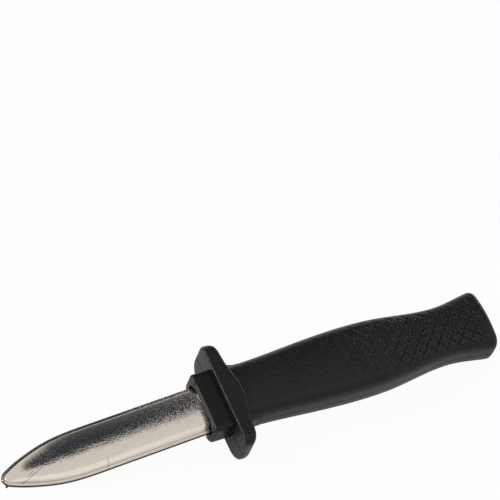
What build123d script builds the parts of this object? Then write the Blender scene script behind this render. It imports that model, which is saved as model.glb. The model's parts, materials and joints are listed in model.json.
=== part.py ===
from build123d import *
import os
from math import cos, pi, radians, sin, sqrt, tan

# Retractable trick knife, in millimetres.
# +X runs along the handle from the blade towards the butt, +Y across the blade's width, +Z up.
# The origin is the centre of the guard's flat lower side, on which the knife lies.

# Blade, plated plastic: a thin rim all round a raised, crowned middle
blade_width = 17.0
blade_thickness = 5.4
blade_exposed = 70.8
blade_offset = 0.15
blade_lean_degrees = 2.9
rim_width = 1.1
rim_thickness = 1.2
rim_chamfer = 0.25
point_length = 23.5
point_middle_share = 0.49
point_width_share = 0.747
nose_length = 1.3
nose_half_width = 2.35
nose_crown_share = 0.35
middle_crown_share = 0.85
slot_engagement = 2.8

# Throat collar, which guides the blade in the guard's mouth
slot_side_gap = 1.5
slot_clearance = 0.4
slot_end_radius = 1.2
collar_side_wall = 0.9
collar_face_wall = 2.4
collar_reach = 6.7
collar_corner_radius = 2.4
collar_front_chamfer = 0.4
lip_width = 3.2
lip_height = 0.5
lip_slope = 1.2
flange_margin = 1.2
flange_thickness = 2.0
mouth_wall = 1.4
fit_clearance = 0.1

# Guard, moulded in one with the handle
guard_width = 37.9
guard_depth = 16.0
guard_end_thickness = 4.4
guard_shoulder_thickness = 5.2
guard_middle_thickness = 7.0
guard_shoulder_share = 0.54
guard_crest_share = 0.13
guard_upper_radius = 1.6
guard_lower_radius = 5.5
guard_hump_radius = 5.0
guard_front_round = 0.45
guard_rear_round = 0.9
wing_fillet = 5.0
wing_depth = 9.0
wing_edge_round = 2.4

# Handle, measured from the guard's front face to the butt
handle_length = 101.0
grip_offset = 0.6
handle_wall = 1.2
blade_room = 0.75
belly_depth = 15.4
butt_wall = 2.6
butt_crown = 1.4
butt_rim_round = 1.9
face_crown_share = 0.09
side_crown_share = 0.05
section_corner_share = 0.5
# Place along the handle, width over the root's width, depth over the belly's depth
grip_shares = (
    (0.04, 0.960, 0.905),
    (0.14, 0.985, 0.915),
    (0.28, 1.075, 0.955),
    (0.40, 1.148, 0.990),
    (0.51, 1.172, 1.000),
    (0.61, 1.130, 0.985),
    (0.70, 1.022, 0.940),
    (0.78, 0.932, 0.900),
    (0.86, 0.925, 0.893),
    (0.93, 1.018, 0.930),
    (0.98, 1.085, 0.960),
    (1.04, 1.105, 0.970),
)
passage_ledge = 0.5
passage_length = 4.1

# Blade tail and its stop, behind the collar
tang_width = 10.0
tang_thickness = 4.4
stop_diameter = 10.0
stop_thickness = 2.0
stop_gap = 0.35

# Spring between the blade's stop and the seat at the butt
spring_wire = 0.5
wire_sides = 6
spring_diameter = 7.6
spring_turns = 13
spring_dead_turns = 1
spring_dead_pitch = 1.0
spring_leg_radius = 0.9
spring_seat_gap = 0.05
gap_step = 0.25
post_clearance = 0.5
post_length = 7.0
post_chamfer = 0.8
seat_height = 1.0
seat_margin = 1.0

# Locating pegs of the two shells
peg_diameter = 2.4
peg_length = 4.0
peg_lead = 0.3
peg_clearance = 0.1
boss_wall = 1.0
wing_peg_share = 0.76
butt_peg_share = 0.55

# How far a cut runs past what it cuts
overrun = 1.0

# Places worked out from the sizes above
parting = guard_depth / 2
guard_front = -guard_middle_thickness / 2
guard_back = guard_front + guard_middle_thickness
half_guard = guard_width / 2
flange_front = guard_front + mouth_wall
collar_front = guard_front - collar_reach
collar_back = flange_front + flange_thickness
collar_length = collar_back - collar_front
butt_end = guard_front + handle_length
butt_inside = butt_end - butt_wall
root_width = blade_width + 2 * (blade_room + handle_wall)
slot_width = blade_width + 2 * slot_side_gap
slot_height = blade_thickness + 2 * slot_clearance
collar_width = slot_width + 2 * collar_side_wall
collar_depth = slot_height + 2 * collar_face_wall
passage_width = slot_width - 2 * passage_ledge
passage_depth = stop_diameter + 2 * slot_clearance
post_diameter = spring_diameter - 2 * spring_wire - 2 * post_clearance

# The blade slides along its own line, which leans a little to the handle
blade_lean = radians(blade_lean_degrees)
slide = Plane(
    origin=(collar_front, -blade_offset, parting),
    x_dir=(cos(blade_lean), sin(blade_lean), 0),
    z_dir=(0, 0, 1),
)
stop_front = collar_length + stop_gap
stop_back = stop_front + stop_thickness
seat_place = (butt_inside - collar_front) / cos(blade_lean) - seat_height


def across(x, y=0):
    """Plane square to the handle at x and y, centred on the parting line: local x runs along +Y."""
    return Plane(origin=(x, y, parting), x_dir=(0, 1, 0), z_dir=(1, 0, 0))


def above_grip(z):
    """Level plane at this height, centred on the grip, which sits a little to one side of the guard."""
    return Plane(origin=(0, grip_offset, z))


def on_slide(distance):
    """Plane square to the blade's line, this far behind the collar's front: local x runs along +Z."""
    return Plane(origin=slide.from_local_coords(Vector(distance, 0, 0)), x_dir=(0, 0, 1), z_dir=slide.x_dir)


def grip_solid(inset):
    """Handle's body, or with an inset the hollow inside its wall: crowned sections with rounded corners."""
    with BuildPart() as grip:
        for along, wide, deep in grip_shares:
            half_width = wide * root_width / 2 - inset
            half_depth = deep * belly_depth / 2 - inset
            side = half_width * (1 - side_crown_share)
            face = half_depth * (1 - face_crown_share)
            with BuildSketch(across(guard_front + along * handle_length, grip_offset)) as section:
                with BuildLine():
                    ThreePointArc((-side, face), (0, half_depth), (side, face))
                    ThreePointArc((side, face), (half_width, 0), (side, -face))
                    ThreePointArc((side, -face), (0, -half_depth), (-side, -face))
                    ThreePointArc((-side, -face), (-half_width, 0), (-side, face))
                make_face()
                fillet(section.vertices(), radius=section_corner_share * half_depth)
        loft()
    return grip.part


# Guard: a plate with rounded corners, whose back rises to a low hump in the middle
with BuildPart() as guard:
    with BuildSketch() as guard_plan:
        with BuildLine():
            Polyline(
                (guard_front, 0),
                (guard_front, half_guard),
                (guard_front + guard_end_thickness, half_guard),
                (guard_front + guard_shoulder_thickness, half_guard * guard_shoulder_share),
                (guard_back, half_guard * guard_crest_share),
                (guard_back, 0),
                close=True,
            )
        make_face()
        mirror(about=Plane.XZ)
        inner = half_guard - overrun
        bends = guard_plan.vertices().filter_by(lambda v: v.X > guard_front and abs(v.Y) < inner)
        fillet(bends, radius=guard_hump_radius)
    extrude(amount=guard_depth)
    with BuildSketch(across(guard_front)) as guard_face:
        Rectangle(guard_width, guard_depth)
        fillet(guard_face.vertices().group_by(Axis.Y)[-1], radius=guard_upper_radius)
        fillet(guard_face.vertices().group_by(Axis.Y)[0], radius=guard_lower_radius)
    extrude(amount=guard_middle_thickness, mode=Mode.INTERSECT)
    fillet(guard.faces().sort_by(Axis.X)[0].edges(), radius=guard_front_round)
    behind_rim = guard_front + guard_front_round + fit_clearance
    rear = guard.edges().filter_by(lambda e: e.center().X > behind_rim)
    rear = rear.filter_by(Axis.X, reverse=True).filter_by(Axis.Z, reverse=True)
    fillet(rear, radius=guard_rear_round)

# Wings: a web with a hollow curve on each side, which runs the guard into the handle
root_half = root_width / 2
wing_top = root_half + wing_fillet
wing_rise = (half_guard - wing_top) / (half_guard * (1 - guard_shoulder_share))
wing_foot = guard_front + guard_end_thickness + wing_rise * (guard_shoulder_thickness - guard_end_thickness)
wing_back = wing_foot + wing_fillet
wing_front = guard_front + guard_rear_round
arc_middle = wing_fillet * sin(pi / 4)
with BuildPart() as wings:
    with BuildSketch(above_grip(parting - wing_depth / 2)):
        with BuildLine():
            curve = ThreePointArc(
                (wing_back, root_half),
                (wing_back - arc_middle, wing_top - arc_middle),
                (wing_foot, wing_top),
            )
            Polyline(curve @ 1, (wing_front, wing_top), (wing_front, 0), (wing_back, 0), curve @ 0)
        make_face()
        mirror(about=Plane.XZ)
    extrude(amount=wing_depth)
    fillet(wings.edges().filter_by(GeomType.CIRCLE), radius=wing_edge_round)

# Hollow of the grip, from the collar's back to the butt wall
with BuildPart() as hollow:
    add(grip_solid(handle_wall))
    with BuildSketch(across(butt_inside)):
        Rectangle(guard_width, guard_depth)
    extrude(amount=-handle_length, mode=Mode.INTERSECT)

# Spring's seat on the butt wall, square to the blade's line, with a chamfered post
with BuildPart() as spring_post:
    with BuildSketch(on_slide(seat_place)):
        Circle(spring_diameter / 2 + seat_margin)
    extrude(amount=seat_height + butt_wall / 2)
    with BuildSketch(on_slide(seat_place)):
        Circle(post_diameter / 2)
    extrude(amount=-post_length)
    chamfer(spring_post.faces().sort_by(Axis.X)[0].edges(), length=post_chamfer)

# Both shells in one: grip with its crowned butt, wings and guard, hollowed
wing_peg = half_guard * wing_peg_share
boss_radius = peg_diameter / 2 + peg_clearance + boss_wall
boss_place = (butt_inside - peg_diameter / 2 - peg_clearance, grip_offset - butt_peg_share * root_half)
peg_places = [
    (guard_front + guard_end_thickness / 2, wing_peg),
    (guard_front + guard_end_thickness / 2, -wing_peg),
    boss_place,
]
with BuildPart() as shells:
    add(grip_solid(0))
    with BuildSketch(above_grip(0)):
        with BuildLine():
            corner = butt_end - butt_crown
            crown = ThreePointArc((corner, half_guard), (butt_end, 0), (corner, -half_guard))
            Polyline(crown @ 1, (guard_front, -half_guard), (guard_front, half_guard), crown @ 0)
        make_face()
    extrude(amount=guard_depth, mode=Mode.INTERSECT)
    fillet(shells.faces().sort_by(Axis.X)[-1].edges(), radius=butt_rim_round)
    add(wings.part)
    add(guard.part)
    add(hollow.part, mode=Mode.SUBTRACT)
    with BuildSketch(Plane.XY.offset(parting)):
        with Locations(boss_place):
            Circle(boss_radius)
    extrude(amount=belly_depth / 2 - handle_wall, both=True)
    add(spring_post.part)
    # Mouth for the collar, the groove that holds its flange, and the passage into the grip
    with BuildSketch(across(guard_front)):
        RectangleRounded(
            collar_width + 2 * fit_clearance,
            collar_depth + 2 * fit_clearance,
            collar_corner_radius + fit_clearance,
        )
    extrude(amount=mouth_wall, mode=Mode.SUBTRACT)
    with BuildSketch(across(flange_front)):
        RectangleRounded(
            collar_width + 2 * flange_margin + 2 * fit_clearance,
            collar_depth + 2 * flange_margin + 2 * fit_clearance,
            collar_corner_radius + flange_margin + fit_clearance,
        )
    extrude(amount=flange_thickness, mode=Mode.SUBTRACT)
    with BuildSketch(across(collar_back, grip_offset)):
        RectangleRounded(passage_width, passage_depth, collar_corner_radius)
    extrude(amount=passage_length, mode=Mode.SUBTRACT)

# Upper shell, with the pegs
with BuildPart() as handle_top_half:
    add(shells.part)
    split(bisect_by=Plane.XY.offset(parting), keep=Keep.TOP)
    with BuildSketch(Plane.XY.offset(parting)):
        with Locations(*peg_places):
            Circle(peg_diameter / 2)
    extrude(amount=-peg_length)
    chamfer(handle_top_half.faces().group_by(Axis.Z)[0].edges(), length=peg_lead)

# Lower shell, with the holes for the pegs
with BuildPart() as handle_bottom_half:
    add(shells.part)
    split(bisect_by=Plane.XY.offset(parting), keep=Keep.BOTTOM)
    with BuildSketch(Plane.XY.offset(parting)):
        with Locations(*peg_places):
            Circle(peg_diameter / 2 + peg_clearance)
    extrude(amount=-(peg_length + peg_lead), mode=Mode.SUBTRACT)

# Collar: a block with raised lips at both ends of its front, the blade's slot, and a flange
half_collar = collar_width / 2
with BuildPart() as throat_collar:
    with BuildSketch(Plane.XY):
        with BuildLine():
            Polyline(
                (collar_front + lip_height, 0),
                (collar_front + lip_height, half_collar - lip_width - lip_slope),
                (collar_front, half_collar - lip_width),
                (collar_front, half_collar),
                (collar_back, half_collar),
                (collar_back, 0),
                close=True,
            )
        make_face()
        mirror(about=Plane.XZ)
    extrude(amount=guard_depth)
    with BuildSketch(across(collar_front)):
        RectangleRounded(collar_width, collar_depth, collar_corner_radius)
    extrude(amount=collar_length, mode=Mode.INTERSECT)
    lips = throat_collar.faces().filter_by(Axis.X).group_by(Axis.X)[0]
    lip_inside = half_collar - lip_width + fit_clearance
    lip_edges = lips.edges().filter_by(lambda e: abs(e.center().Y) > lip_inside)
    chamfer(lip_edges, length=collar_front_chamfer)
    with BuildSketch(across(flange_front)):
        RectangleRounded(
            collar_width + 2 * flange_margin,
            collar_depth + 2 * flange_margin,
            collar_corner_radius + flange_margin,
        )
    extrude(amount=flange_thickness)
    with BuildSketch(across(collar_front)):
        RectangleRounded(slot_width, slot_height, slot_end_radius)
    extrude(amount=collar_length, mode=Mode.SUBTRACT)

# Blade's outline: straight sides that taper along an arc to a small round nose
tip = -blade_exposed
half_blade = blade_width / 2
point_middle = tip + point_middle_share * point_length
point_middle_half_width = point_width_share * half_blade
with BuildSketch(slide) as blade_outline:
    with BuildLine():
        side = ThreePointArc(
            (tip + point_length, half_blade),
            (point_middle, point_middle_half_width),
            (tip + nose_length, nose_half_width),
        )
        nose = ThreePointArc(side @ 1, (tip, 0), (tip + nose_length, -nose_half_width))
        other_side = ThreePointArc(
            nose @ 1,
            (point_middle, -point_middle_half_width),
            (tip + point_length, -half_blade),
        )
        Polyline(other_side @ 1, (slot_engagement, -half_blade), (slot_engagement, half_blade), side @ 0)
    make_face()

# Raised middle of the blade: lens sections, lower towards the nose, kept inside the rim
stations = (
    (tip + rim_width, nose_half_width, nose_crown_share),
    (point_middle, point_middle_half_width, middle_crown_share),
    (tip + point_length, half_blade, 1),
    ((tip + point_length + slot_engagement) / 2, half_blade, 1),
    (slot_engagement, half_blade, 1),
)
edge = rim_thickness / 2
with BuildPart() as raised_middle:
    for distance, half_width, crown_share in stations:
        crown = crown_share * blade_thickness / 2
        with BuildSketch(on_slide(distance)):
            with BuildLine():
                top = ThreePointArc((edge, -half_width), (crown, 0), (edge, half_width))
                bottom = ThreePointArc((-edge, half_width), (-crown, 0), (-edge, -half_width))
                Line(top @ 1, bottom @ 0)
                Line(bottom @ 1, top @ 0)
            make_face()
    loft()
    with BuildSketch(slide):
        add(blade_outline.sketch_local)
        offset(amount=-rim_width)
    extrude(amount=blade_thickness, both=True, mode=Mode.INTERSECT)

# Blade: thin rim plate, raised middle, and the tail with its tang, round stop and spring spigot
half_tang = tang_width / 2
rim_body = rim_thickness / 2 - rim_chamfer
tang_front = slot_engagement - rim_width - overrun
tang_back = stop_front + stop_thickness / 2
with BuildPart() as blade:
    add(blade_outline.sketch)
    extrude(amount=rim_body, both=True)
    for side in (1, -1):
        with BuildSketch(slide.offset(side * rim_body)):
            add(blade_outline.sketch_local)
        with BuildSketch(slide.offset(side * rim_thickness / 2)):
            add(blade_outline.sketch_local)
            offset(amount=-rim_chamfer)
        loft(ruled=True)
    add(raised_middle.part)
    with BuildSketch(slide.offset(-tang_thickness / 2)):
        with BuildLine():
            Polyline(
                (tang_front, half_tang),
                (tang_front, -half_tang),
                (tang_back, -half_tang),
                (tang_back, half_tang),
                close=True,
            )
        make_face()
    extrude(amount=tang_thickness)
    with BuildSketch(on_slide(stop_front)):
        Circle(stop_diameter / 2)
    extrude(amount=stop_thickness)
    with BuildSketch(on_slide(stop_back)):
        Circle(post_diameter / 2)
    extrude(amount=post_length)
    chamfer(blade.faces().sort_by(Axis.X)[-1].edges(), length=post_chamfer)

# Spring: one wire, wound round the blade's line, with a straight leg square to the face at each end
coil_radius = (spring_diameter - spring_wire) / 2
leg_length = spring_leg_radius + spring_wire
spring_start = stop_back + spring_seat_gap
spring_end = seat_place - spring_seat_gap
dead_length = spring_dead_turns * spring_dead_pitch
spring_pitch = (spring_end - spring_start - 2 * leg_length - 2 * dead_length) / spring_turns
half_turns = 2 * (spring_turns + 2 * spring_dead_turns)


def coil_place(half_turn):
    """How far behind the collar's front the wire lies after this many half turns."""
    dead = min(half_turn, 2 * spring_dead_turns) + max(half_turn - half_turns + 2 * spring_dead_turns, 0)
    live = half_turn - dead
    return spring_start + leg_length + dead * spring_dead_pitch / 2 + live * spring_pitch / 2


def coil_point(half_turn):
    """Point of the wire's centre line after this many half turns."""
    round_place = (coil_radius * cos(pi * half_turn), coil_radius * sin(pi * half_turn), 0)
    return on_slide(coil_place(half_turn)).from_local_coords(Vector(*round_place))


def coil_heading(half_turn):
    """Way the wire runs there: across the axis, with the mean climb of the half turns on either side."""
    before = max(half_turn - 1, 0)
    after = min(half_turn + 1, half_turns)
    climb = (coil_place(after) - coil_place(before)) / (after - before)
    here = on_slide(coil_place(half_turn))
    across_axis = here.y_dir * (pi * coil_radius * cos(pi * half_turn))
    return (across_axis + here.z_dir * climb).normalized()


def leg_bend(point, heading):
    """Start of the bend, of the leg's radius, that turns the slide's direction into the heading."""
    turn = radians(slide.x_dir.get_angle(heading))
    return point - (slide.x_dir + heading) * (spring_leg_radius * tan(turn / 2))


with BuildPart() as spring:
    with BuildLine() as wire:
        first_point = coil_point(0)
        first_heading = coil_heading(0)
        first_bend = leg_bend(first_point, first_heading)
        first_end = first_bend - slide.x_dir * spring_wire
        Line(first_end, first_bend)
        TangentArc(first_bend, first_point, tangent=slide.x_dir)
        for half_turn in range(half_turns):
            near = coil_point(half_turn)
            far = coil_point(half_turn + 1)
            out = coil_heading(half_turn)
            home = coil_heading(half_turn + 1)
            chord = far - near
            along = chord.dot(out + home)
            spread = 2 * (1 - out.dot(home))
            reach = (sqrt(along**2 + spread * chord.dot(chord)) - along) / spread
            joint = (near + far + (out - home) * reach) / 2
            TangentArc(near, joint, tangent=out)
            TangentArc(joint, far, tangent=chord - (out + home) * reach)
        last_point = coil_point(half_turns)
        last_heading = coil_heading(half_turns)
        last_turn = radians(slide.x_dir.get_angle(last_heading))
        last_bend = last_point + (slide.x_dir + last_heading) * (spring_leg_radius * tan(last_turn / 2))
        TangentArc(last_point, last_bend, tangent=last_heading)
        Line(last_bend, last_bend + slide.x_dir * spring_wire)
    with BuildSketch(Plane(origin=first_end, z_dir=slide.x_dir)):
        RegularPolygon(spring_wire / 2, wire_sides)
    sweep(path=wire.line, clean=False)

# Least gap of the wire to itself, on points along its centre line, each against the next turn and a half
path = wire.wire()
spots = [path.position_at(i * gap_step / path.length) for i in range(int(path.length / gap_step) + 1)]
nearest = int(4 * spring_wire / gap_step)
farthest = int(3 * pi * coil_radius / gap_step)
least_gap = min(
    (spots[j] - spots[i]).length - spring_wire
    for i in range(len(spots))
    for j in range(i + nearest, min(i + farthest, len(spots)))
)
print("least gap of the spring's wire to itself, mm:", round(least_gap, 2))

os.makedirs("parts", exist_ok=True)
pieces = {
    "handle_top_half": handle_top_half,
    "handle_bottom_half": handle_bottom_half,
    "throat_collar": throat_collar,
    "blade": blade,
    "spring": spring,
}
for name, piece in pieces.items():
    piece.part.label = name
    export_step(piece.part, "parts/" + name + ".step")
    print(name, round(piece.part.volume / CM**3, 2), "cubic centimetres")
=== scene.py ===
import json
from math import cos, pi, radians, sin
import bmesh
import bpy
import numpy as np
from mathutils import Matrix, Vector


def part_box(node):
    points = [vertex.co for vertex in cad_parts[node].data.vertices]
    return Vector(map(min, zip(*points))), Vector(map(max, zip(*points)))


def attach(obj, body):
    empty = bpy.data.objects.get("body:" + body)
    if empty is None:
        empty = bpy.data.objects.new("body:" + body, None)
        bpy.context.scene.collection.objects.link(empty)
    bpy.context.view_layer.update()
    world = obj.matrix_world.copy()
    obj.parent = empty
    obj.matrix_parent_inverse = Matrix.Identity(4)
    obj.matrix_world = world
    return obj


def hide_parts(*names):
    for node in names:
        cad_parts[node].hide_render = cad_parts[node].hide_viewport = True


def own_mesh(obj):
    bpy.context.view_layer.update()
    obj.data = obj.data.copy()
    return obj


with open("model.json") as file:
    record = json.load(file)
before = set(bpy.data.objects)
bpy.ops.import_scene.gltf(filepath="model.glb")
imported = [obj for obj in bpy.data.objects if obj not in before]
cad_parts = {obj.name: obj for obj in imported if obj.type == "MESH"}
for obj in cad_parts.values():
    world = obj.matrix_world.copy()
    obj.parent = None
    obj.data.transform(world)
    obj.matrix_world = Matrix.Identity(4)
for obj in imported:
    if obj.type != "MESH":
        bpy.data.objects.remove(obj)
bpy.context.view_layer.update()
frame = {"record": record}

# Retractable trick knife. Meshes are worked out in millimetres and made in metres.
MM = 0.001

# Places read from the frame
lower_box = [[v / MM for v in corner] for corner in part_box("handle_bottom_half")]
collar_box = [[v / MM for v in corner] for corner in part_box("throat_collar")]
joint = next(j for j in frame["record"]["behaviour"]["joints"] if j["name"] == "blade_slide")
parting = lower_box[1][2]
half_guard = lower_box[1][1]
guard_front = lower_box[0][0]
butt_end = lower_box[1][0]
handle_length = butt_end - guard_front
collar_front = collar_box[0][0]
collar_back = collar_box[1][0]

# Handle
grip_offset = 0.6
root_width = 20.9
belly_depth = 15.4
handle_wall = 1.2
butt_wall = 2.6
butt_crown = 1.4
butt_rim_round = 1.9
crown_reach = 6.0
crown_run = 4.0
face_crown_share = 0.15
side_crown_share = 0.05
section_corner_share = 0.6
# Place along the handle, width over the root's width, depth over the belly's depth
grip_shares = (
    (0.04, 0.960, 0.905),
    (0.14, 0.985, 0.915),
    (0.28, 1.075, 0.955),
    (0.40, 1.148, 0.990),
    (0.51, 1.172, 1.000),
    (0.61, 1.130, 0.985),
    (0.70, 1.022, 0.940),
    (0.78, 0.932, 0.900),
    (0.86, 0.925, 0.893),
    (0.93, 1.018, 0.930),
    (0.98, 1.085, 0.960),
    (1.04, 1.105, 0.970),
)

# Guard and wings
guard_end_thickness = 4.4
guard_shoulder_thickness = 5.2
guard_middle_thickness = 7.0
guard_shoulder_share = 0.54
guard_crest_share = 0.13
guard_upper_radius = 3.2
guard_lower_radius = 5.5
guard_front_round = 0.6
guard_rear_round = 0.9
guard_front_end_round = 1.0
guard_rear_end_round = 2.8
hump_blend = 1.6
wing_fillet = 5.0
wing_depth = 9.0
wing_edge_round = 2.4
wing_root = 4.0
wing_overlap = 14

# Mouth, groove and passage for the collar
collar_width = 21.8
collar_depth = 11.0
collar_corner_radius = 2.4
mouth_wall = 1.4
flange_margin = 1.2
collar_edge_round = 0.55
collar_upper_radius = 1.2
collar_lower_radius = 4.0
lip_width = 3.2
lip_height = 0.5
lip_slope = 1.2
slot_half_width = 9.0
slot_clearance = 0.25
slot_end_radius = 2.0
flange_thickness = 2.0
fit_clearance = 0.1
passage_width = 19.0
passage_depth = 10.8
passage_length = 4.1

# Blade
blade_width = 17.0
blade_thickness = 4.3
blade_exposed = 70.8
blade_offset = 0.15
rim_width = 1.1
rim_thickness = 1.2
rim_chamfer = 0.25
rim_fall = 0.06
rim_flat_margin = 0.05
# Step from the rim to the middle: distance past the rim, share of the middle's height there
rim_step = ((0.04, 0.6), (0.10, 1.0), (0.25, 1.0))
point_length = 23.5
point_middle_share = 0.49
point_width_share = 0.747
point_blend = 7.0
point_blend_share = 0.8
nose_length = 1.3
nose_half_width = 2.35
nose_middle_shares = (0.29, 0.553)
# Height of the blade's middle against the distance from the tip
crown_places = (1.1, 5.0, 10.0, 23.5, 73.6)
crown_shares = (0.30, 0.76, 0.93, 1.0, 1.0)
crown_flatness = 2.4
crown_shoulder = 0.6
crown_least_rise = 0.02
crown_inset_share = 0.8
gate_stub = ((-79.7, -5.2), (-80.3, -6.2))
gate_stub_width = 0.9
gate_stub_height = 0.8
gate_stub_taper = 0.7
slot_engagement = 2.8
tang_width = 10.0
tang_thickness = 4.4
stop_diameter = 10.0
stop_thickness = 2.0
stop_gap = 0.35
post_diameter = 5.6
post_length = 7.0
post_chamfer = 0.8

# Least angles of edges that stay sharp, in degrees
shell_sharp = 38
collar_sharp = 35
blade_sharp = 28

# Scratches on the blade, each as a line of points
scratches = (
    ((-75.24, -6.68), (-73.07, -6.30), (-70.93, -5.18), (-67.75, -4.03)),
    ((-73.11, -5.56), (-70.84, -4.12)),
    ((-46.39, -7.25), (-46.77, -8.97), (-47.14, -10.69), (-45.96, -10.34)),
)
scratch_width = 0.15

# Spring
spring_wire = 0.5
spring_diameter = 7.6
spring_turns = 13
spring_dead_turns = 1
spring_dead_pitch = 1.0
seat_height = 1.0
seat_margin = 1.0

# Raised pattern on the grip's two faces
cell = 4.6
lobe_radius = 1.0
lobe_offset = 0.95
groove_half_width = 0.15
groove_depth = 0.32
groove_mask_gain = 1.3
pattern_margin = 1.2
pattern_fade = 1.5
pattern_front = 8.0
pattern_front_fade = 4.0
pattern_back = 3.0
faint_share = 0.14
faint_end = 36.0
faint_run = 34.0

# Groove of the parting line
seam_half_width = 0.16
seam_depth = 0.20
front_seam_width = 0.42
front_seam_depth = 0.70

# Steps of the meshes: faces, corners and sides of sections, and turns
fine_step = 0.18
hollow_step = 1.0
quarter_steps = 8
grip_steps = (50, 11, 5)
hollow_steps = (8, 6, 3)
guard_steps = (40, 10, 10)
collar_steps = (6, 8, 6)
flat_run_steps = 3
web_steps = 4
plate_steps = (2, 8, 2)
wing_steps = 39
nose_steps = 10
point_steps = 60
straight_steps = 79
crown_steps = 26
crown_spacing = 1.5
edge_steps = 6
blend_samples = 17
hump_samples = 9
round_sides = 64
coil_steps = 32
wire_sides = 12
cut_margin = 1
beyond = 40

# Plating: clouded from one colour to the other, scratched through, and with a painted dark reflection on the
# rim's side
plating_dark = (0.77, 0.71, 0.64, 1)
plating_light = (0.85, 0.79, 0.72, 1)
scratch_colour = (0.34, 0.31, 0.28, 1)
rim_painted_shade_colour = (0.04, 0.04, 0.04, 1)
rim_painted_shade_share = 0.42
dulling_start = -45
dulling_range = (0.8, 1.7)

# Plastic: how far its colour varies, and the sheen left in the pattern's grooves
colour_variation = 1.25
groove_sheen = 0.1

# Floor: half its side, and its glow straight on and in reflections
floor_reach = 3000
floor_glow = 0.95
floor_mirrored_glow = 0.2

# Curves of the grip and its butt
grip_table = np.array(grip_shares)
grip_knots = guard_front + grip_table[:, 0] * handle_length
butt_crown_radius = (half_guard**2 + butt_crown**2) / (2 * butt_crown)

# Blade's outline, from its tip
half_blade = blade_width / 2
tip = -blade_exposed
point_end = tip + point_length
point_middle = tip + point_middle_share * point_length
point_middle_half_width = point_width_share * half_blade

# Blade's slide line, from the joint
slide_axis = Vector(joint["axis"]).normalized()
slide_across = Vector((-slide_axis.y, slide_axis.x, 0))
slide_origin = Vector((collar_front, -blade_offset, parting))
butt_inside = butt_end - butt_wall
seat_place = (butt_inside - collar_front) / slide_axis.x - seat_height
stop_front = collar_back - collar_front + stop_gap
stop_back = stop_front + stop_thickness


def turn_outward(mesh, weld=0):
    """Turns the faces of a closed mesh outward, and first joins points nearer than this many metres."""
    work = bmesh.new()
    work.from_mesh(mesh)
    if weld:
        bmesh.ops.remove_doubles(work, verts=work.verts, dist=weld)
        bmesh.ops.dissolve_degenerate(work, edges=work.edges, dist=weld / 10)
    bmesh.ops.recalc_face_normals(work, faces=work.faces)
    work.to_mesh(mesh)
    work.free()


def make_piece(name, points, faces):
    """A mesh object from points in millimetres."""
    mesh = bpy.data.meshes.new(name)
    mesh.from_pydata((np.asarray(points) * MM).tolist(), [], faces)
    mesh.validate()
    turn_outward(mesh)
    piece = bpy.data.objects.new(name, mesh)
    bpy.context.scene.collection.objects.link(piece)
    return piece


def combine(piece, operation, *others):
    """Joins, cuts or clips a closed mesh with others, which are used up."""
    for other in others:
        step = piece.modifiers.new(operation, "BOOLEAN")
        step.operation = operation
        step.solver = "MANIFOLD"
        step.object = other
    graph = bpy.context.evaluated_depsgraph_get()
    mesh = bpy.data.meshes.new_from_object(piece.evaluated_get(graph), depsgraph=graph)
    piece.modifiers.clear()
    piece.data = mesh
    for other in others:
        bpy.data.objects.remove(other)
    return piece


def copy_of(piece, name):
    """A second object with its own mesh."""
    twin = piece.copy()
    twin.data = piece.data.copy()
    twin.name = name
    twin.data.name = name
    bpy.context.scene.collection.objects.link(twin)
    return twin


def smooth_faces(piece, sharp_degrees):
    """Smooth shading that stays sharp over edges of more than this angle."""
    piece.data.shade_smooth()
    piece.data.set_sharp_from_angle(angle=radians(sharp_degrees))


def ring_faces(rings, count):
    """Quads between rings of the same number of points."""
    start = np.arange(rings - 1)[:, None] * count
    here = np.arange(count)[None, :]
    after = (here + 1) % count
    quads = np.stack([start + here, start + after, start + count + after, start + count + here], axis=-1)
    return quads.reshape(-1, 4).tolist()


def closed_faces(rings, count):
    """Quads between rings, and one flat face over each end of the row."""
    ends = [list(range(count))[::-1], list(range((rings - 1) * count, rings * count))]
    return ring_faces(rings, count) + ends


def bridge_faces(first, count, flip):
    """Strips across a ring, each point joined to its mirror image over the parting line."""
    faces = []
    half = count // 2
    for i in range(half // 2):
        right = [i, i + 1, half - i - 1, half - i]
        left = [count - i - 1, (count - i) % count, half + i, half + i + 1]
        for strip in (right, left):
            corners = [first + v for n, v in enumerate(strip) if v != strip[n - 1]]
            faces.append(corners[::-1] if flip else corners)
    return faces


def make_loft(name, rings):
    """Closed body through rings that mirror over the parting line, an array of ring, point and axis."""
    rows, count = rings.shape[:2]
    faces = ring_faces(rows, count)
    faces += bridge_faces(0, count, True)
    faces += bridge_faces((rows - 1) * count, count, False)
    return make_piece(name, rings.reshape(-1, 3), faces)


def make_prism(name, front, back):
    """Closed body between two rings of four corners."""
    return make_piece(name, [*front, *back], closed_faces(2, 4))


def all_round(upper, lower=None):
    """Whole rings from their upper right quadrants, from the top's middle to the right side's middle.

    The lower half mirrors the upper one, or the second set of quadrants.
    """
    lower = upper if lower is None else lower
    down = lower * np.array([1, -1])
    left_down = lower * np.array([-1, -1])
    left_up = upper * np.array([-1, 1])
    return np.concatenate([upper, down[:, -2::-1], left_down[:, 1:], left_up[:, -2:0:-1]], axis=1)


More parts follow.
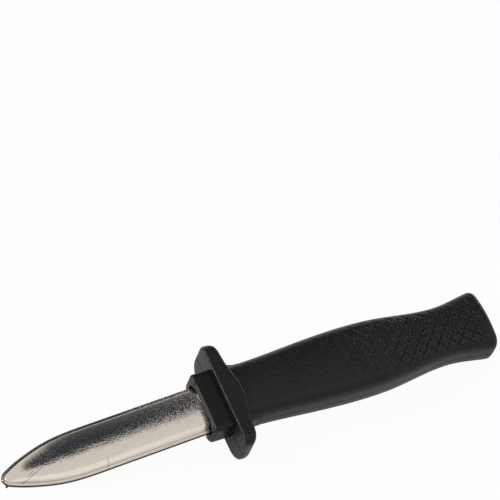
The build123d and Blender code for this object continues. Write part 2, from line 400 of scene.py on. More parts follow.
def natural_curve(knots, values, places):
    """Smooth curve through a few given values, by natural cubic pieces."""
    gaps = np.diff(knots)
    slopes = np.diff(values) / gaps
    size = len(knots)
    system = np.eye(size)
    right = np.zeros(size)
    for i in range(1, size - 1):
        system[i, i - 1:i + 2] = gaps[i - 1], 2 * (gaps[i - 1] + gaps[i]), gaps[i]
        right[i] = 6 * (slopes[i] - slopes[i - 1])
    bend = np.linalg.solve(system, right)
    at = np.clip(np.searchsorted(knots, places) - 1, 0, size - 2)
    before = places - knots[at]
    after = knots[at + 1] - places
    gap = gaps[at]
    return (
        (bend[at] * after**3 + bend[at + 1] * before**3) / (6 * gap)
        + (values[at] / gap - bend[at] * gap / 6) * after
        + (values[at + 1] / gap - bend[at + 1] * gap / 6) * before
    )


def smooth_step(value):
    """Rises smoothly from 0 to 1."""
    value = np.clip(value, 0, 1)
    return value * value * (3 - 2 * value)


def seam_at(height):
    """Depth of the parting line's groove at this height over the parting plane."""
    return seam_depth * np.clip(1 - np.abs(height) / seam_half_width, 0, 1)


def grip_half_sizes(x):
    """Half width and half depth of the grip at x."""
    half_width = natural_curve(grip_knots, grip_table[:, 1], x) * root_width / 2
    half_depth = natural_curve(grip_knots, grip_table[:, 2], x) * belly_depth / 2
    return half_width, half_depth


def grip_rings(half_width, half_depth, radius, face_steps, corner_steps, side_steps):
    """Crowned sections with rounded corners: points and outward normals of each ring, across and up."""
    half_width = half_width[:, None]
    half_depth = half_depth[:, None]
    radius = radius[:, None]
    side = half_width * (1 - side_crown_share)
    face = half_depth * (1 - face_crown_share)
    face_rise = half_depth - face
    side_rise = half_width - side
    face_radius = (side**2 + face_rise**2) / (2 * face_rise)
    side_radius = (face**2 + side_rise**2) / (2 * side_rise)
    face_centre = half_depth - face_radius
    side_centre = half_width - side_radius
    # Corner's centre, where it touches both crowned sides from inside
    reach_face = face_radius - radius
    reach_side = side_radius - radius
    apart = np.sqrt(face_centre**2 + side_centre**2)
    along = (reach_face**2 - reach_side**2 + apart**2) / (2 * apart)
    off = np.sqrt(reach_face**2 - along**2)
    unit_y = side_centre / apart
    unit_z = -face_centre / apart
    corner_y = along * unit_y + off * unit_z
    corner_z = face_centre + along * unit_z - off * unit_y
    face_turn = np.arctan2(corner_y, corner_z - face_centre)
    side_turn = np.arctan2(corner_y - side_centre, corner_z)
    share = np.linspace(0, 1, face_steps + 1)[None, :]
    face_angle = face_turn * share
    share = np.linspace(0, 1, corner_steps + 1)[None, 1:]
    corner_angle = face_turn + (side_turn - face_turn) * share
    # Side: even steps, then close ones that shape the groove of the parting line
    side_top = side_radius * np.cos(side_turn)
    share = np.linspace(0, 1, side_steps + 1)[None, 1:]
    even = side_top + (seam_half_width - side_top) * share
    close = np.broadcast_to(np.array([[seam_half_width / 2, 0]]), (len(even), 2))
    side_height = np.concatenate([even, close], axis=1)
    side_angle = np.arccos(side_height / side_radius)
    face_points = (face_radius * np.sin(face_angle), face_centre + face_radius * np.cos(face_angle))
    corner_points = (corner_y + radius * np.sin(corner_angle), corner_z + radius * np.cos(corner_angle))
    side_points = (side_centre + side_radius * np.sin(side_angle), side_radius * np.cos(side_angle))
    angle = np.concatenate([face_angle, corner_angle, side_angle], axis=1)
    points = np.stack(
        [np.concatenate(parts, axis=1) for parts in zip(face_points, corner_points, side_points)],
        axis=-1,
    )
    normals = np.stack([np.sin(angle), np.cos(angle)], axis=-1)
    return all_round(points), all_round(normals)


def cell_distance(x, y):
    """Distance from the edge of the four-lobed cells, which sit in offset rows."""
    best = np.full(np.broadcast(x, y).shape, cell)
    for shift in (0, cell / 2):
        u = (x + shift) % cell - cell / 2
        v = (y + shift) % cell - cell / 2
        for lobe in range(4):
            lobe_u = lobe_offset * cos(lobe * pi / 2)
            lobe_v = lobe_offset * sin(lobe * pi / 2)
            best = np.minimum(best, np.hypot(u - lobe_u, v - lobe_v) - lobe_radius)
    return best


def grip_relief(x, y, half_width):
    """Height of the pattern over the smooth grip: grooves between the cells, fading out at the edges."""
    groove = np.exp(-((cell_distance(x, y) / groove_half_width) ** 2))
    fade = smooth_step((half_width - pattern_margin - np.abs(y)) / pattern_fade)
    fade = fade * smooth_step((x - pattern_front) / pattern_front_fade)
    fade = fade * smooth_step((butt_end - pattern_back - x) / pattern_fade)
    fade = fade * (faint_share + (1 - faint_share) * smooth_step((x - faint_end) / faint_run))
    return -groove_depth * groove * fade


def mark_grooves(shell):
    """Stores on each point how deep it lies in the pattern, for the material."""
    places = np.empty(3 * len(shell.data.vertices))
    shell.data.vertices.foreach_get("co", places)
    x, y = (places.reshape(-1, 3) / MM)[:, :2].T
    half_width = grip_half_sizes(np.clip(x, grip_knots[0], butt_end))[0]
    depth = -grip_relief(x, y - grip_offset, half_width) / groove_depth
    mask = shell.data.attributes.new("groove", "FLOAT", "POINT")
    mask.data.foreach_set("value", np.clip(groove_mask_gain * depth, 0, 1))


def butt_sag(y):
    """How far the crowned butt falls back from its middle."""
    return butt_crown_radius - np.sqrt(butt_crown_radius**2 - y**2)


def make_grip():
    """Grip's outer body as one closed mesh, with its pattern and crowned, rounded butt."""
    straight_end = butt_end - butt_rim_round
    x = np.arange(grip_knots[0], straight_end, fine_step)
    half_width, half_depth = grip_half_sizes(x)
    points, normals = grip_rings(half_width, half_depth, section_corner_share * half_depth, *grip_steps)
    places = np.broadcast_to(x[:, None], points.shape[:2])
    relief = grip_relief(places, points[..., 0], half_width[:, None])
    points = points + normals * (relief - seam_at(points[..., 1]))[..., None]
    crowned = smooth_step((x[:, None] - butt_end + crown_reach) / crown_run)
    places = places - butt_sag(points[..., 0]) * crowned
    body = np.concatenate([places[..., None], points], axis=-1)
    # Butt: rings of the last section, drawn in round the rim
    turn = np.linspace(0, pi / 2, quarter_steps + 1)
    inset = butt_rim_round * (1 - np.cos(turn))
    forward = np.sin(turn)[:, None]
    half_width, half_depth = grip_half_sizes(straight_end + butt_rim_round * np.sin(turn))
    points, normals = grip_rings(
        half_width - inset, half_depth - inset, section_corner_share * half_depth - inset, *grip_steps
    )
    seam = seam_at(points[..., 1])
    places = straight_end + butt_rim_round * forward - butt_sag(points[..., 0]) - seam * forward
    points = points - normals * (seam * np.cos(turn)[:, None])[..., None]
    butt = np.concatenate([places[..., None], points], axis=-1)
    rings = np.concatenate([body, butt], axis=0)
    rings[..., 1] += grip_offset
    rings[..., 2] += parting
    return make_loft("grip", rings)


def plate_quadrant(half_width, half_depth, radius, flat_end, steps):
    """Quarter of a rounded rectangle: points and outward normals, across and up."""
    flat, corner, side = steps
    y = np.linspace(0, flat_end, flat + 1)
    y = np.concatenate([y, np.linspace(flat_end, half_width - radius, flat_run_steps + 1)[1:]])
    points = [np.stack([y, np.full_like(y, half_depth)], axis=-1)]
    normals = [np.broadcast_to(np.array([0.0, 1.0]), (len(y), 2))]
    angle = np.linspace(0, pi / 2, corner + 1)[1:]
    turned = np.stack([np.sin(angle), np.cos(angle)], axis=-1)
    points.append(np.array([half_width - radius, half_depth - radius]) + radius * turned)
    normals.append(turned)
    z = np.linspace(half_depth - radius, seam_half_width, side + 1)[1:]
    z = np.concatenate([z, [seam_half_width / 2, 0]])
    points.append(np.stack([np.full_like(z, half_width), z], axis=-1))
    normals.append(np.broadcast_to(np.array([1.0, 0.0]), (len(z), 2)))
    return np.concatenate(points)[None], np.concatenate(normals)[None]


def plate_ring(half_width, half_depth, *radii):
    """Rounded rectangle as one ring, across and up, from the radii of its upper and lower corners."""
    flat_end = (half_width - max(radii)) / 2
    halves = [plate_quadrant(half_width, half_depth, radius, flat_end, plate_steps)[0] for radius in radii]
    return all_round(*halves)[0]


def at_place(x, ring):
    """Points in space of a ring that is given across and up from the parting plane's middle."""
    return np.stack([np.broadcast_to(x, len(ring)), ring[:, 0], ring[:, 1] + parting], axis=-1)


def guard_rear(y):
    """How far behind the guard's front its back lies: a low hump that falls towards the ends."""
    bends = (0, guard_crest_share * half_guard, guard_shoulder_share * half_guard, half_guard)
    heights = (
        guard_middle_thickness, guard_middle_thickness, guard_shoulder_thickness, guard_end_thickness,
    )
    shifts = np.linspace(-hump_blend / 2, hump_blend / 2, hump_samples)
    return np.mean([np.interp(np.abs(y + shift), bends, heights) for shift in shifts], axis=0)


def make_guard():
    """Guard as one closed mesh with rounded edges and the groove of the parting line."""
    flat_end = guard_shoulder_share * half_guard
    rings = []
    for end_round, top_round, front in (
        (guard_front_end_round, guard_front_round, True),
        (guard_rear_end_round, guard_rear_round, False),
    ):
        turns = np.linspace(0, pi / 2, quarter_steps + 1)
        for turn in turns if front else turns[::-1]:
            half_width = half_guard - end_round * (1 - sin(turn))
            drawn_in = top_round * (1 - sin(turn))
            halves = [
                plate_quadrant(half_width, parting - drawn_in, radius - drawn_in, flat_end, guard_steps)
                for radius in (guard_upper_radius, guard_lower_radius)
            ]
            out = all_round(halves[0][1], halves[1][1])[0]
            place = all_round(halves[0][0], halves[1][0])[0]
            place -= out * seam_at(place[:, 1:])
            back = (out**2 @ np.array([end_round, top_round])) * (1 - cos(turn))
            x = guard_front + back if front else guard_front + guard_rear(place[:, 0]) - back
            rings.append(at_place(x, place))
    return make_loft("guard", np.array(rings))


def make_seam_cut():
    """Wedge that cuts the fine line of the parting plane into the guard's front."""
    reach = half_guard + cut_margin
    depth = front_seam_depth
    section = ((-depth, front_seam_width), (-depth, -front_seam_width), (depth, 0))
    points = [(guard_front + x, y, parting + z) for y in (-reach, reach) for x, z in section]
    return make_piece("seam_cut", points, closed_faces(2, 3))


def make_wing(side):
    """One web between guard and grip: a hollow curve with rounded edges, swept round its centre."""
    wing_top = root_width / 2 + wing_fillet
    rise = (half_guard - wing_top) / (half_guard * (1 - guard_shoulder_share))
    foot = guard_front + guard_end_thickness + rise * (guard_shoulder_thickness - guard_end_thickness)
    centre_x = foot + wing_fillet
    # Profile: distance from the arc's centre against height, rounded at both edges
    turn = np.linspace(0, pi / 2, quarter_steps + 1)
    flat = wing_depth / 2 - wing_edge_round
    groove_z = [0, seam_half_width / 2, seam_half_width]
    groove_r = [wing_fillet + seam_depth, wing_fillet + seam_depth / 2, wing_fillet]
    web_z = np.linspace(seam_half_width, flat, web_steps + 1)[1:-1]
    edge_z = flat + wing_edge_round * np.sin(turn)
    edge_r = wing_fillet + wing_edge_round * (1 - np.cos(turn))
    z = np.concatenate([groove_z, web_z, edge_z])
    r = np.concatenate([groove_r, np.full(len(web_z), wing_fillet), edge_r])
    z = np.concatenate([-z[:0:-1], z, [wing_depth / 2, -wing_depth / 2]])
    r = np.concatenate([r[:0:-1], r, [wing_fillet + wing_root, wing_fillet + wing_root]])
    rings = []
    for angle in np.linspace(radians(-wing_overlap), radians(90 + wing_overlap), wing_steps + 1):
        # Past the arc's ends the web runs straight on, a little into the grip and the guard
        held = min(max(angle, 0), pi / 2)
        past = (angle - held) * wing_fillet
        x = centre_x - r * sin(held) - past * cos(held) * (held == 0)
        y = wing_top - r * cos(held) + past * (held > 0)
        rings.append(np.stack([x, grip_offset + side * y, z + parting], axis=-1))
    return make_piece("wing", np.concatenate(rings), closed_faces(len(rings), len(z)))


def make_hollow():
    """Hollow of the grip, one wall inside its outer body."""
    x = np.arange(collar_back - fit_clearance, butt_inside + fit_clearance, hollow_step)
    x[-1] = butt_inside
    half_width, half_depth = grip_half_sizes(np.maximum(x, grip_knots[0]))
    half_width -= handle_wall
    half_depth -= handle_wall
    rings = grip_rings(half_width, half_depth, section_corner_share * half_depth, *hollow_steps)[0]
    body = np.concatenate([np.broadcast_to(x[:, None, None], rings.shape[:2] + (1,)), rings], axis=-1)
    body[..., 1] += grip_offset
    body[..., 2] += parting
    return make_loft("hollow", body)


def make_block(name, front, back, half_width, half_depth, radius, lower_radius=None, offset=0):
    """Block along the handle with rounded corners."""
    ring = plate_ring(half_width, half_depth, radius, lower_radius or radius)
    ring[:, 0] += offset
    points = np.concatenate([at_place(x, ring) for x in (front, back)])
    return make_piece(name, points, closed_faces(2, len(ring)))


def make_slab(low, high):
    """Box that holds the half of the handle between two heights."""
    rings = [
        [(x, -beyond, low), (x, -beyond, high), (x, beyond, high), (x, beyond, low)]
        for x in (guard_front - beyond, butt_end + beyond)
    ]
    return make_prism("slab", *rings)


def on_slide(distance, across, up):
    """Point of the blade's own frame, which starts on the collar's front."""
    across = np.asarray(across, float)
    x = slide_origin.x + distance * slide_axis.x + across * slide_across.x
    y = slide_origin.y + distance * slide_axis.y + across * slide_across.y
    z = slide_origin.z + np.asarray(up, float) + 0 * x
    return np.stack(np.broadcast_arrays(x, y, z), axis=-1)


def make_round(name, rings):
    """Turned piece on the blade's line, from its radii at several places."""
    angle = np.arange(round_sides) * 2 * pi / round_sides
    points = [on_slide(place, radius * np.cos(angle), radius * np.sin(angle)) for place, radius in rings]
    return make_piece(name, np.concatenate(points), closed_faces(len(rings), round_sides))


def make_shells():
    """Both halves of the handle: one body, hollowed, and split on the parting line."""
    body = combine(make_grip(), "UNION", make_wing(1), make_wing(-1), make_guard())
    mouth = make_block(
        "mouth", guard_front - cut_margin, collar_back,
        collar_width / 2 + fit_clearance, collar_depth / 2 + fit_clearance,
        collar_upper_radius + fit_clearance, collar_lower_radius + fit_clearance,
    )
    flange_front = guard_front + mouth_wall
    margin = flange_margin + fit_clearance
    groove = make_block(
        "groove", flange_front, flange_front + flange_thickness,
        collar_width / 2 + margin, collar_depth / 2 + margin, collar_corner_radius + margin,
    )
    passage = make_block(
        "passage", collar_back - cut_margin, collar_back + passage_length,
        passage_width / 2, passage_depth / 2, collar_corner_radius, offset=grip_offset,
    )
    body = combine(body, "DIFFERENCE", make_hollow(), mouth, groove, passage, make_seam_cut())
    post_radius = post_diameter / 2
    seat_radius = spring_diameter / 2 + seat_margin
    seat = make_round("seat", (
        (seat_place - post_length, post_radius - post_chamfer),
        (seat_place - post_length + post_chamfer, post_radius),
        (seat_place, post_radius),
        (seat_place, seat_radius),
        (seat_place + seat_height + butt_wall / 2, seat_radius),
    ))
    body = combine(body, "UNION", seat)
    top = copy_of(body, "top_shell")
    bottom = copy_of(body, "bottom_shell")
    bpy.data.objects.remove(body)
    combine(top, "INTERSECT", make_slab(parting, parting + beyond))
    combine(bottom, "INTERSECT", make_slab(parting - beyond, parting))
    for shell in (top, bottom):
        smooth_faces(shell, shell_sharp)
        mark_grooves(shell)
    return top, bottom


def make_collar():
    """Collar: rounded block with a lip at each end of its front, the blade's slot, and a flange."""
    half_width = collar_width / 2
    half_depth = collar_depth / 2
    turns = np.linspace(0, pi / 2, edge_steps + 1)
    places = [(collar_edge_round * (1 - sin(a)), collar_edge_round * (1 - cos(a))) for a in turns]
    rings = []
    for inset, back in (*places, (0, collar_back - collar_front)):
        halves = []
        for radius in (collar_upper_radius, collar_lower_radius):
            sizes = (half_width - inset, half_depth - inset, radius - inset, half_width / 2)
            halves.append(plate_quadrant(*sizes, collar_steps)[0])
        rings.append(at_place(collar_front + back, all_round(*halves)[0]))
    body = make_loft("collar_shown", np.array(rings))
    flange_front = guard_front + mouth_wall
    flange = make_block(
        "flange", flange_front, flange_front + flange_thickness, half_width + flange_margin,
        half_depth + flange_margin, collar_corner_radius + flange_margin,
    )
    # Recess between the lips
    profile = [
        (collar_front - cut_margin, half_width - lip_width),
        (collar_front, half_width - lip_width),
        (collar_front + lip_height, half_width - lip_width - lip_slope),
    ]
    profile += [(x, -y) for x, y in profile[::-1]]
    points = [(x, y, z) for z in (parting - collar_depth, parting + collar_depth) for x, y in profile]
    recess = make_piece("recess", points, closed_faces(2, len(profile)))
    slot = make_block(
        "slot", collar_front - cut_margin, collar_back + cut_margin,
        slot_half_width, blade_thickness / 2 + slot_clearance, slot_end_radius,
    )
    combine(body, "UNION", flange)
    combine(body, "DIFFERENCE", recess, slot)
    smooth_faces(body, collar_sharp)
    return body


def three_point_arc(a, b, c, steps):
    """Points along the arc from a through b to c, and their outward normals."""
    a, b, c = (np.array(p, float) for p in (a, b, c))
    system = np.array([b - a, c - a])
    right = np.array([(b @ b - a @ a) / 2, (c @ c - a @ a) / 2])
    centre = np.linalg.solve(system, right)
    radius = np.linalg.norm(a - centre)
    angles = np.unwrap([np.arctan2(*(p - centre)[::-1]) for p in (a, b, c)])
    turn = np.linspace(angles[0], angles[2], steps + 1)
    outward = np.stack([np.cos(turn), np.sin(turn)], axis=-1)
    return centre + radius * outward, outward


def blade_half_outline():
    """Half outline from the tip along the right side: points and outward normals, tip first."""
    nose_end = (tip + nose_length, nose_half_width)
    nose_middle = (tip + nose_length * nose_middle_shares[0], nose_half_width * nose_middle_shares[1])
    nose, nose_out = three_point_arc((tip, 0), nose_middle, nose_end, nose_steps)
    side, side_out = three_point_arc(
        nose_end, (point_middle, point_middle_half_width), (point_end, half_blade), point_steps
    )
    straight = np.linspace(point_end, slot_engagement, straight_steps + 1)[1:]
    run = np.stack([straight, np.full_like(straight, half_blade)], axis=-1)
    run_out = np.broadcast_to(np.array([0.0, 1.0]), run.shape)
    points = np.concatenate([nose, side[1:], run])
    normals = np.concatenate([nose_out, side_out[1:], run_out])
    # The sides run smoothly into the point
    after = len(nose)
    reach = np.minimum(point_blend, point_blend_share * (points[after:, 0] - points[after - 1, 0]))
    shifts = np.linspace(-1, 1, blend_samples)[:, None] * reach
    table = points.copy()
    shifted = np.interp(points[after:, 0] + shifts, table[:, 0], table[:, 1])
    points[after:, 1] = np.mean(shifted, axis=0)
    slope = np.gradient(points[after:, 1], points[after:, 0])
    normals[after:] = np.stack([-slope, np.ones_like(slope)], axis=-1) / np.hypot(slope, 1)[:, None]
    return points, normals


def blade_half_width(x):
    """Half width of the outline at a place along the blade."""
    points = blade_half_outline()[0]
    return np.interp(x, points[:, 0], points[:, 1])


def blade_crown(x):
    """Height of the blade's middle over its centre plane."""
    places = tip + np.array(crown_places)
    inside = np.clip(x, places[0], places[-1])
    curve = natural_curve(places, np.array(crown_shares), inside)
    return np.minimum(curve, 1.0) * blade_thickness / 2


def lens_height(x, y):
    """Height of the raised middle's surface: a flat crown whose shoulders round down to the rim."""
    width = np.maximum(blade_half_width(x) - crown_inset_share * rim_width, rim_width)
    edge = rim_thickness / 2
    rise = np.maximum(blade_crown(x) - edge, crown_least_rise)
    share = np.minimum(np.abs(y) / width, 1)
    return edge + rise * np.maximum(1 - share**crown_flatness, 0) ** crown_shoulder


def blade_columns():
    """Points of one quarter of the blade, from the rim's side to the middle, in lines along it."""
    outline, out = blade_half_outline()
    edge = rim_thickness / 2
    low = edge - rim_fall
    columns = []
    # Rim: up its side, over the chamfer, and along its slightly sloped top
    for inset, height in (
        (0, 0),
        (0, low - rim_chamfer),
        (rim_chamfer, low),
        (rim_chamfer + rim_flat_margin, low),
        (rim_width - rim_flat_margin, edge),
        (rim_width, edge),
    ):
        place = outline - out * inset
        columns.append((place, np.full(len(outline), height)))
    # Step from the rim to the middle's surface
    for past, share in rim_step:
        place = outline - out * (rim_width + past)
        place[:, 1] = np.maximum(place[:, 1], 0)
        surface = lens_height(place[:, 0], place[:, 1])
        columns.append((place, edge + (surface - edge) * share))
    inner = columns[-1][0]
    for share in 1 - np.linspace(0, 1, crown_steps + 1)[1:] ** crown_spacing:
        place = inner * np.array([1, share])
        columns.append((place, lens_height(place[:, 0], place[:, 1])))
    x = np.array([place[:, 0] for place, _ in columns]).T
    y = np.array([place[:, 1] for place, _ in columns]).T
    z = np.array([height for _, height in columns]).T
    y[0] = 0
    return x, y, z


def make_blade():
    """Blade: rim, step and crowned middle, mirrored below, with its tail behind."""
    x, y, z = blade_columns()
    rows, cols = x.shape
    sides = ((1, 1), (1, -1), (-1, 1), (-1, -1))
    points = np.concatenate([on_slide(x, across * y, up * z).reshape(-1, 3) for across, up in sides])
    here = (np.arange(rows - 1)[:, None] * cols + np.arange(cols - 1)[None, :]).reshape(-1)
    quads = np.stack([here, here + cols, here + cols + 1, here + 1], axis=-1)
    faces = []
    for number, (across, up) in enumerate(sides):
        sheet = quads + number * rows * cols
        faces += (sheet if across * up < 0 else sheet[:, ::-1]).tolist()
    # Closed at the back by strips from the upper to the lower side
    last = (rows - 1) * cols
    for i in range(cols - 1):
        for across, upper, lower in ((1, 0, 1), (-1, 2, 3)):
            a = upper * rows * cols + last + i
            b = lower * rows * cols + last + i
            face = [a, a + 1, b + 1, b]
            faces.append(face if across > 0 else face[::-1])
    piece = make_piece("blade_plate", points, faces)
    turn_outward(piece.data, 0.004 * MM)
    post_radius = post_diameter / 2
    stop = make_round("stop", (
        (stop_front, stop_diameter / 2),
        (stop_back, stop_diameter / 2),
        (stop_back, post_radius),
        (stop_back + post_length - post_chamfer, post_radius),
        (stop_back + post_length, post_radius - post_chamfer),
    ))
    combine(piece, "UNION", make_tang(), stop, make_gate_stub())
    smooth_faces(piece, blade_sharp)
    return piece


def make_gate_stub():
    """Rest of the sprue that the blade was moulded through."""
    start, end = (Vector((*place, parting)) for place in gate_stub)
    along = (end - start).normalized()
    across = Vector((-along.y, along.x, 0)) * gate_stub_width / 2
    rise = Vector((0, 0, gate_stub_height / 2))
    rings = [
        [place + (across * a + rise * b) * share for a, b in ((-1, -1), (-1, 1), (1, 1), (1, -1))]
        for place, share in ((start, 1.0), (end, gate_stub_taper))
    ]
    return make_prism("gate_stub", *rings)


def make_tang():
    """Narrower tail between the blade and its stop."""
    rings = [
        [
            on_slide(place, a * tang_width / 2, b * tang_thickness / 2)
            for a, b in ((-1, -1), (-1, 1), (1, 1), (1, -1))
        ]
        for place in (slot_engagement - rim_width - cut_margin, stop_front + stop_thickness / 2)
    ]
    return make_prism("tang", *rings)


def make_spring():
    """Round wire wound about the blade's line, from the stop to the seat."""
    start = stop_back + spring_wire / 2
    end = seat_place - spring_wire / 2
    radius = (spring_diameter - spring_wire) / 2
    turns = spring_turns + 2 * spring_dead_turns
    along = np.linspace(0, turns, turns * coil_steps + 1)
    dead = spring_dead_turns * spring_dead_pitch
    bends = (0, spring_dead_turns, turns - spring_dead_turns, turns)
    place = np.interp(along, bends, (start, start + dead, end - dead, end))
    angle = 2 * pi * along
    centre = np.stack([on_slide(p, radius * sin(a), radius * cos(a)) for p, a in zip(place, angle)])
    heading = np.gradient(centre, axis=0)
    heading /= np.linalg.norm(heading, axis=1)[:, None]
    outward = centre - np.stack([on_slide(p, 0, 0) for p in place])
    outward -= heading * np.sum(outward * heading, axis=1)[:, None]
    outward /= np.linalg.norm(outward, axis=1)[:, None]
    third = np.cross(heading, outward)
    turn = (np.arange(wire_sides) * 2 * pi / wire_sides)[None, :, None]
    ring = outward[:, None] * np.cos(turn) + third[:, None] * np.sin(turn)
    rings = centre[:, None] + spring_wire / 2 * ring
    piece = make_piece("spring_coil", rings.reshape(-1, 3), closed_faces(len(rings), wire_sides))
    piece.data.shade_smooth()
    return piece


def new_material(name):
    """A material with its node tree and its shader."""
    material = bpy.data.materials.new(name)
    material.use_nodes = True
    return material, material.node_tree, material.node_tree.nodes["Principled BSDF"]


def connect(tree, value, socket):
    """Links another node's output to a socket, or gives the socket a constant."""
    if isinstance(value, bpy.types.NodeSocket):
        tree.links.new(value, socket)
    else:
        socket.default_value = value


def add_node(tree, kind, inputs=None, **settings):
    """Adds a node, with its settings first and its inputs by name or number."""
    node = tree.nodes.new(kind)
    for name, value in settings.items():
        setattr(node, name, value)
    for name, value in (inputs or {}).items():
        connect(tree, value, node.inputs[name])
    return node


def calculate(tree, operation, *values):
    """Result of a math node."""
    return add_node(tree, "ShaderNodeMath", dict(enumerate(values)), operation=operation).outputs["Value"]


def calculate_vector(tree, operation, *values):
    """Result of a vector math node, a number or a vector."""
    node = add_node(tree, "ShaderNodeVectorMath", dict(enumerate(values)), operation=operation)
    return node.outputs["Value" if operation in ("DOT_PRODUCT", "DISTANCE") else "Vector"]


def object_place(tree):
    """Place on the piece, in metres."""
    return add_node(tree, "ShaderNodeTexCoord").outputs["Object"]


def noise(tree, place, size, detail=2.0):
    """Noise whose features are about this many millimetres."""
    inputs = {"Vector": place, "Scale": 1 / (size * MM), "Detail": detail, "Roughness": 0.5}
    return add_node(tree, "ShaderNodeTexNoise", inputs).outputs["Fac"]


def map_range(tree, value, from_low, from_high, low, high):
    """Maps from_low..from_high to low..high, and holds the ends beyond."""
    inputs = {"Value": value, "From Min": from_low, "From Max": from_high, "To Min": low, "To Max": high}
    return add_node(tree, "ShaderNodeMapRange", inputs).outputs["Result"]


def spread(tree, value, low, high, contrast=1.0):
    """Maps 0..1 to low..high, or a narrower band round 0.5 for a higher contrast."""
    return map_range(tree, value, 0.5 - 0.5 / contrast, 0.5 + 0.5 / contrast, low, high)


def mix_colours(tree, share, first, second):
    """Mixes two colours, each another node's output or a constant."""
    inputs = {"Factor": share, "A": first, "B": second}
    return add_node(tree, "ShaderNodeMix", inputs, data_type="RGBA").outputs["Result"]


def bump(tree, height, millimetres, normal=None):
    """Normal of a surface that rises by this much where the height is 1."""
    inputs = {"Height": height, "Distance": millimetres * MM, "Strength": 1.0}
    if normal:
        inputs["Normal"] = normal
    return add_node(tree, "ShaderNodeBump", inputs).outputs["Normal"]


def ramp(tree, value, *steps):
    """Colour ramp through these places and colours."""
    node = add_node(tree, "ShaderNodeValToRGB", {"Fac": value})
    stops = node.color_ramp.elements
    for _ in steps[2:]:
        stops.new(1)
    for stop, (place, colour) in zip(stops, steps):
        stop.position = place
        stop.color = (*colour, 1)
    return node.outputs["Color"]


def black_plastic(name, colour, low_rough, high_rough, grain, sheen):
    """Moulded black plastic: fine grain and uneven sheen."""
    material, tree, shader = new_material(name)
    place = object_place(tree)
    darker = (*[c / colour_variation for c in colour], 1)
    lighter = (*[c * colour_variation for c in colour], 1)
    mottled = mix_colours(tree, noise(tree, place, size=6.0), darker, lighter)
    connect(tree, mottled, shader.inputs["Base Color"])
    uneven = spread(tree, noise(tree, place, size=0.7, detail=1.0), low_rough, high_rough, contrast=2.5)
    connect(tree, uneven, shader.inputs["Roughness"])
    fine = bump(tree, noise(tree, place, size=0.5, detail=0.0), grain)
    wide = bump(tree, noise(tree, place, size=3.0, detail=1.0), grain / 2, fine)
    connect(tree, wide, shader.inputs["Normal"])
    # Grooves of the pattern hold no sheen
    mask = add_node(tree, "ShaderNodeAttribute", attribute_name="groove").outputs["Fac"]
    connect(tree, spread(tree, mask, sheen, groove_sheen), shader.inputs["Specular IOR Level"])
    return material


def scratch_mask(tree, place, height):
    """1 on the scratches of the blade's upper face, 0 elsewhere."""
    flat = calculate_vector(tree, "MULTIPLY", place, (1, 1, 0))
    nearest = 1.0
    for line in scratches:
        for start, end in zip(line, line[1:]):
            start = Vector((*start, 0)) * MM
            run = Vector((*end, 0)) * MM - start
            off = calculate_vector(tree, "SUBTRACT", flat, start)
            share = calculate_vector(tree, "DOT_PRODUCT", off, run / run.length_squared)
            held = add_node(tree, "ShaderNodeClamp", {"Value": share}).outputs["Result"]
            gap = calculate_vector(tree, "DISTANCE", off, calculate_vector(tree, "MULTIPLY", held, run))
            nearest = calculate(tree, "MINIMUM", nearest, gap)
    mask = map_range(tree, nearest, scratch_width / 2 * MM, scratch_width * MM, 1.0, 0.0)
    return calculate(tree, "MULTIPLY", mask, calculate(tree, "GREATER_THAN", height, parting * MM))


def plated_plastic(name):
    """Bright plating over moulded plastic: slightly wavy and grainy, with fine scratches."""
    material, tree, shader = new_material(name)
    place = object_place(tree)
    parts = add_node(tree, "ShaderNodeSeparateXYZ", {"Vector": place}).outputs
    shader.inputs["Metallic"].default_value = 1.0
    clouds = noise(tree, place, size=3.0, detail=5.0)
    clouded = mix_colours(tree, clouds, plating_dark, plating_light)
    worn = mix_colours(tree, scratch_mask(tree, place, parts["Z"]), clouded, scratch_colour)
    # Painted shade on the narrow side of the rim: a near-black colour stands in for the dark reflection
    # there
    in_rim_painted_shade = calculate(tree, "COMPARE", parts["Z"], parting * MM, rim_painted_shade_share * rim_thickness * MM)
    connect(tree, mix_colours(tree, in_rim_painted_shade, worn, rim_painted_shade_colour), shader.inputs["Base Color"])
    # Tiny dull pits, through which dark reflections turn lighter, and more of them by the collar
    pits = spread(tree, noise(tree, place, size=0.5, detail=0.0), low=0.03, high=0.21, contrast=2.2)
    by_collar = map_range(tree, parts["X"], dulling_start * MM, collar_front * MM, *dulling_range)
    connect(tree, calculate(tree, "MULTIPLY", pits, by_collar), shader.inputs["Roughness"])
    fine = bump(tree, noise(tree, place, size=0.6, detail=0.0), millimetres=0.013)
    wide = bump(tree, noise(tree, place, size=6.0, detail=0.0), millimetres=0.05, normal=fine)
    connect(tree, wide, shader.inputs["Normal"])
    return material


def wire_steel(name):
    """Drawn spring wire."""
    material, tree, shader = new_material(name)
    place = object_place(tree)
    shader.inputs["Metallic"].default_value = 1.0
    shader.inputs["Base Color"].default_value = (0.55, 0.55, 0.56, 1)
    uneven = spread(tree, noise(tree, place, size=0.6, detail=4.0), low=0.2, high=0.4)
    connect(tree, uneven, shader.inputs["Roughness"])
    drawn = bump(tree, noise(tree, place, size=0.15, detail=2.0), millimetres=0.01)
    connect(tree, drawn, shader.inputs["Normal"])
    return material


def dress(piece, material):
    """Gives a piece this one material."""
    piece.data.materials.clear()
    piece.data.materials.append(material)


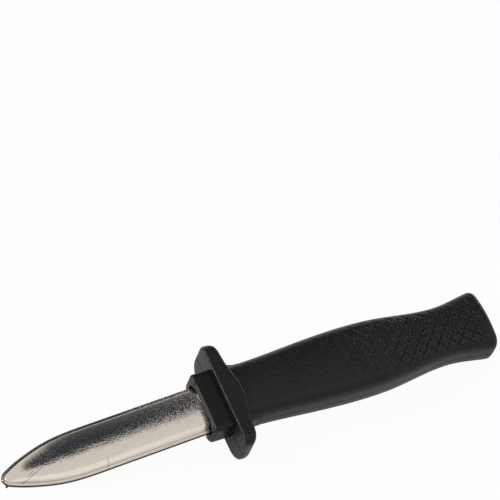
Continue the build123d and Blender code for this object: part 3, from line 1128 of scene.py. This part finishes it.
def build_knife():
    """Every piece with its material, in place of its solid and on its body."""
    handle_plastic = black_plastic(
        "handle_plastic", (0.0060, 0.0063, 0.0076), low_rough=0.24, high_rough=0.36, grain=0.13, sheen=0.33
    )
    collar_plastic = black_plastic(
        "collar_plastic", (0.0050, 0.0050, 0.0062), low_rough=0.22, high_rough=0.30, grain=0.02, sheen=0.30
    )
    plating = plated_plastic("blade_plating")
    steel = wire_steel("spring_steel")

    for shell, node in zip(make_shells(), ("handle_top_half", "handle_bottom_half")):
        dress(shell, handle_plastic)
        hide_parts(node)
        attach(shell, "handle")

    collar = make_collar()
    dress(collar, collar_plastic)
    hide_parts("throat_collar")
    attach(collar, "handle")

    blade = make_blade()
    dress(blade, plating)
    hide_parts("blade")
    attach(blade, "blade")

    spring = make_spring()
    dress(spring, steel)
    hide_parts("spring")
    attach(spring, "handle")
    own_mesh(spring)


def build_floor():
    """Pale floor that keeps the knife's soft shadow."""
    material, tree, shader = new_material("floor")
    shader.inputs["Base Color"].default_value = (0.9, 0.9, 0.9, 1)
    shader.inputs["Roughness"].default_value = 0.9
    glow = add_node(tree, "ShaderNodeEmission", {"Color": (1, 1, 1, 1)}).outputs[0]
    seen = add_node(tree, "ShaderNodeLightPath").outputs
    straight = calculate(tree, "MULTIPLY", seen["Is Camera Ray"], floor_glow)
    share = calculate(tree, "MULTIPLY_ADD", seen["Is Glossy Ray"], floor_mirrored_glow, straight)
    mixed = add_node(tree, "ShaderNodeMixShader", {0: share, 1: shader.outputs[0], 2: glow}).outputs[0]
    connect(tree, mixed, tree.nodes["Material Output"].inputs["Surface"])
    corners = ((-1, -1), (1, -1), (1, 1), (-1, 1))
    floor = make_piece("floor", [(x * floor_reach, y * floor_reach, 0) for x, y in corners], [[0, 1, 2, 3]])
    dress(floor, material)


def build_surround():
    """White tent, open towards +X and +Y, where the room behind is dim."""
    world = bpy.data.worlds.new("studio")
    world.use_nodes = True
    bpy.context.scene.world = world
    tree = world.node_tree
    direction = add_node(tree, "ShaderNodeTexCoord").outputs["Generated"]
    parts = add_node(tree, "ShaderNodeSeparateXYZ", {"Vector": direction}).outputs
    room = ramp(
        tree, parts["Z"],
        (0.0, (0.95, 0.95, 0.97)),
        (0.12, (0.38, 0.38, 0.39)),
        (0.28, (0.13, 0.125, 0.12)),
        (0.80, (0.035, 0.041, 0.052)),
    )
    wall = ramp(
        tree, calculate(tree, "MULTIPLY", parts["Y"], -1),
        (0.66, (0.73, 0.715, 0.70)),
        (0.82, (0.48, 0.43, 0.38)),
        (0.95, (0.58, 0.55, 0.52)),
    )
    black = (0, 0, 0)
    white = (1, 1, 1)
    behind = ramp(tree, parts["Y"], (0.32, black), (0.37, white))
    # Open end beyond the butt
    towards_butt = ramp(tree, calculate(tree, "ADD", parts["X"], 0.7), (0.80, black), (0.95, white))
    tent = mix_colours(tree, calculate(tree, "MULTIPLY", behind, towards_butt), wall, room)
    camera_ray = add_node(tree, "ShaderNodeLightPath").outputs["Is Camera Ray"]
    colour = mix_colours(tree, camera_ray, tent, (1, 1, 1, 1))
    connect(tree, colour, tree.nodes["Background"].inputs["Color"])


def add_softbox(name, place, aim, size, watts, colour):
    """Rectangular lamp aimed at a point."""
    light = bpy.data.lights.new(name, "AREA")
    light.shape = "RECTANGLE"
    light.size, light.size_y = (s * MM for s in size)
    light.energy = watts
    light.color = colour
    lamp = bpy.data.objects.new(name, light)
    lamp.location = Vector(place) * MM
    lamp.rotation_euler = (Vector(aim) - Vector(place)).to_track_quat("-Z", "Y").to_euler()
    bpy.context.scene.collection.objects.link(lamp)


def add_camera():
    """Camera at the photograph's viewing angle."""
    scene = bpy.context.scene
    camera_data = bpy.data.cameras.new("camera")
    camera_data.lens = 176.863
    camera_data.sensor_width = 36.0
    camera_data.clip_end = 10
    camera = bpy.data.objects.new("camera", camera_data)
    right = Vector((0.884728, -0.404907, 0.230882))
    up = Vector((0.241816, 0.822193, 0.515290))
    back = Vector((-0.398474, -0.400060, 0.825330))
    place = Vector((-299.52, -281.28, 693.08)) * MM
    camera.matrix_world = Matrix.Translation(place) @ Matrix((right, up, back)).transposed().to_4x4()
    scene.collection.objects.link(camera)
    scene.camera = camera


build_knife()
build_floor()
build_surround()
add_softbox("overhead", (0, -250, 900), aim=(20, 0, 8), size=(800, 400), watts=0.2, colour=(1.0, 0.98, 0.96))
add_softbox("edge", (-780, 390, 390), aim=(0, 0, 8), size=(300, 300), watts=4.2, colour=(1.0, 1.0, 1.0))
add_softbox("rear_edge", (760, 500, 190), aim=(5, 0, 8), size=(250, 200), watts=0.9, colour=(1.0, 1.0, 1.0))
add_camera()
bpy.context.scene.view_settings.view_transform = "Standard"
